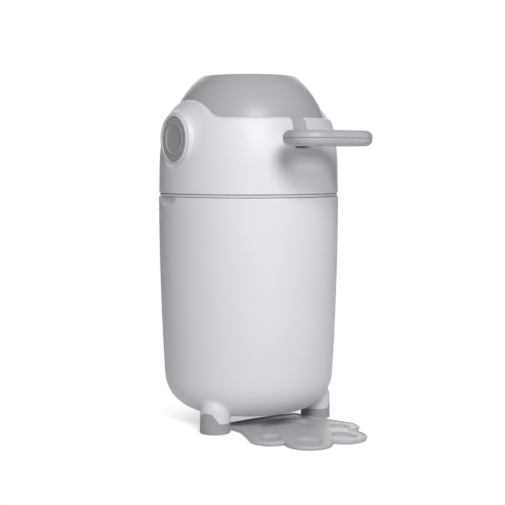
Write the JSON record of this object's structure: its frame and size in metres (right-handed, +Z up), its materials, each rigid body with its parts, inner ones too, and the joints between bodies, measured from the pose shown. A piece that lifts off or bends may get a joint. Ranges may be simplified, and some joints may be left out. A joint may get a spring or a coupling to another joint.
{
  "type": "nappy bin",
  "caption": "Free-standing nappy bin with a round body on three feet, a flip-over ball drum with a loop handle, a sliding piston and a paw-shaped foot plate.",
  "frame": {"origin": "on the floor, at the centre of the footprint's box: the body's axis stands 45.5 mm behind it", "axes": "+Z up, -Y to the front where the handle and the foot plate are, +X to the right of someone standing in front of it"},
  "size_m": [0.262, 0.353, 0.5044],
  "materials": {
    "body_white": "smooth moulded white plastic",
    "drum_grey": "smooth satin grey plastic",
    "trim_grey": "satin mid grey plastic",
    "plate_grey": "satin light grey plastic",
    "inner_white": "moulded white plastic, left as moulded",
    "dark_rubber": "soft dark rubber",
    "zinc_screws": "zinc plated steel"
  },
  "bodies": {
    "bin": {"body_shell": "body_white", "front_left_foot_cap": "trim_grey", "front_right_foot_cap": "trim_grey", "rear_foot_cap": "trim_grey", "foot_pads": "dark_rubber", "foot_screws": "zinc_screws", "foot_plate": "plate_grey", "plate_pads": "dark_rubber"},
    "ring": {"bag_ring": "body_white"},
    "head": {"head_shell": "body_white", "head_base": "inner_white", "head_base_screws": "zinc_screws", "drum_seal": "dark_rubber", "pivot_axle_left": "trim_grey", "pivot_axle_right": "trim_grey", "pivot_screws": "zinc_screws", "pivot_cap_left": "trim_grey", "pivot_cap_right": "trim_grey"},
    "drum": {"drum_upper_shell": "drum_grey", "drum_lower_shell": "drum_grey", "chamber_tube": "inner_white", "pivot_bush_left": "inner_white", "pivot_bush_right": "inner_white", "handle_upper_shell": "drum_grey", "handle_lower_shell": "drum_grey", "handle_screws": "zinc_screws"},
    "piston": {"piston_upper_disc": "drum_grey", "piston_lower_disc": "drum_grey", "piston_wiper": "dark_rubber"}
  },
  "joints": [
    {"name": "head_lift", "type": "slide", "parent": "bin", "child": "head", "axis": [0, 0, 1], "range_m": [0, 0.2]},
    {"name": "ring_lift", "type": "slide", "parent": "bin", "child": "ring", "axis": [0, 0, 1], "range_m": [0, 0.08]},
    {"name": "drum_turn", "type": "hinge", "parent": "head", "child": "drum", "pos_m": [0, 0.0455, 0.413], "axis": [-1, 0, 0], "range_deg": [0, 180]},
    {"name": "piston_slide", "type": "slide", "parent": "drum", "child": "piston", "axis": [0, 0, 1], "range_m": [0, 0.1494]}
  ],
  "couplings": [
    {"joint": "ring_lift", "follows": "head_lift", "ratio": 0.4}
  ]
}
